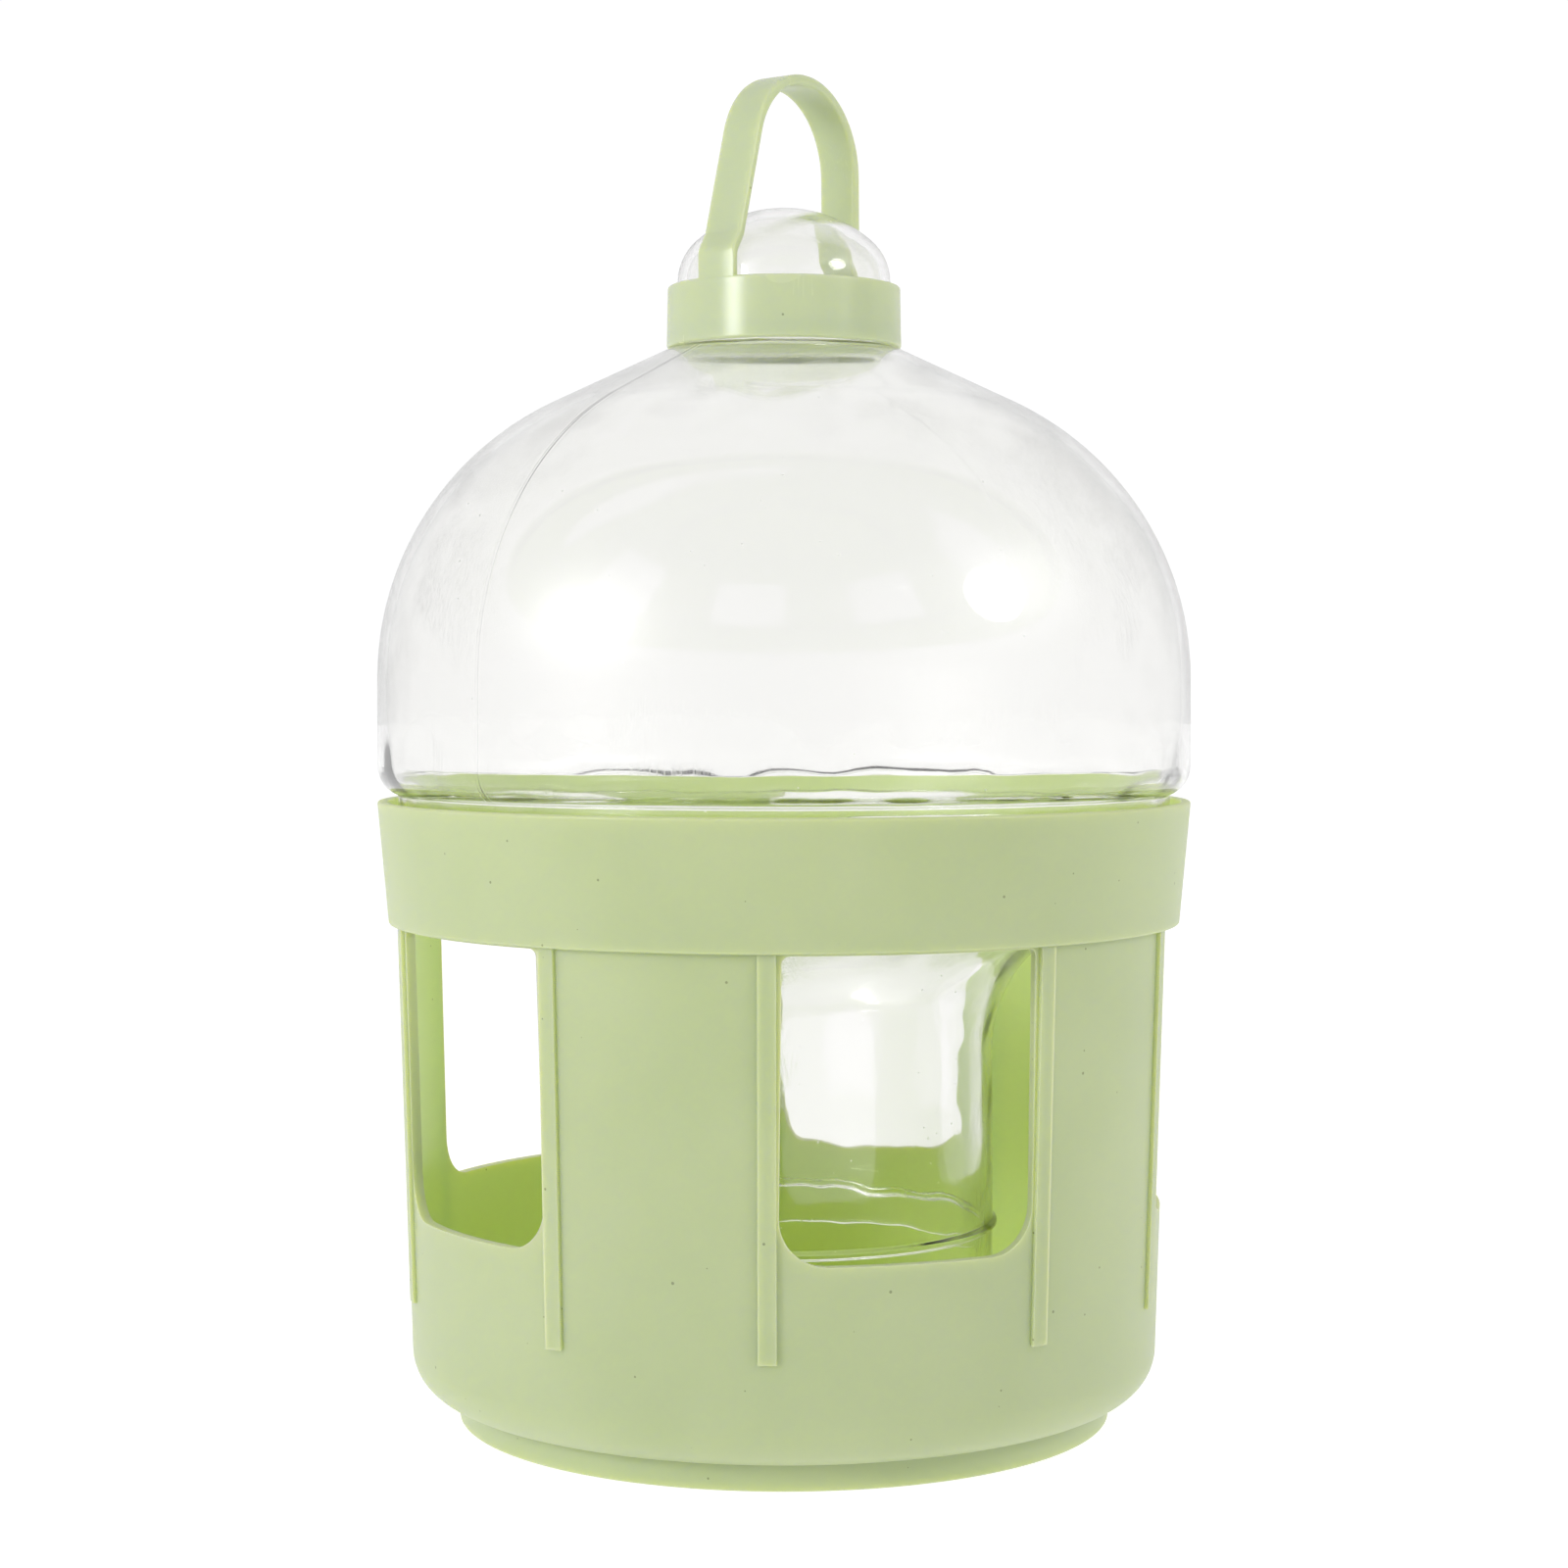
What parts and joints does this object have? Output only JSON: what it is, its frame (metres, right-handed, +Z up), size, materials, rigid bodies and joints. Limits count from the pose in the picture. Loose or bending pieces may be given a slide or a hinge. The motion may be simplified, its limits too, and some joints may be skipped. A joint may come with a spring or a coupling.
{
  "type": "gravity bird waterer",
  "caption": "Domed clear tank standing neck-down in a round trough base with bird-head windows, under a swivelling carry handle.",
  "frame": {"origin": "on the ground under the middle of the base's foot ring", "axes": "+Z up along the drinker's axis; +X through the middle of one window; the carry handle's loop stands over the line 54 degrees round from +X at rest"},
  "size_m": [0.1646, 0.1646, 0.2714],
  "materials": {
    "green_plastic": "satin, slightly translucent moulded plastic",
    "clear_plastic": "clear, glossy blow-moulded plastic"
  },
  "bodies": {
    "base": {"base": "green_plastic"},
    "tank": {"tank": "clear_plastic"},
    "handle": {"carry_handle": "green_plastic"}
  },
  "joints": [
    {"name": "tank_lift", "type": "slide", "parent": "base", "child": "tank", "axis": [0, 0, 1], "range_m": [0, 0.125]},
    {"name": "handle_swivel", "type": "hinge", "parent": "tank", "child": "handle", "pos_m": [0, 0, 0.22], "axis": [0, 0, 1], "continuous": true}
  ]
}
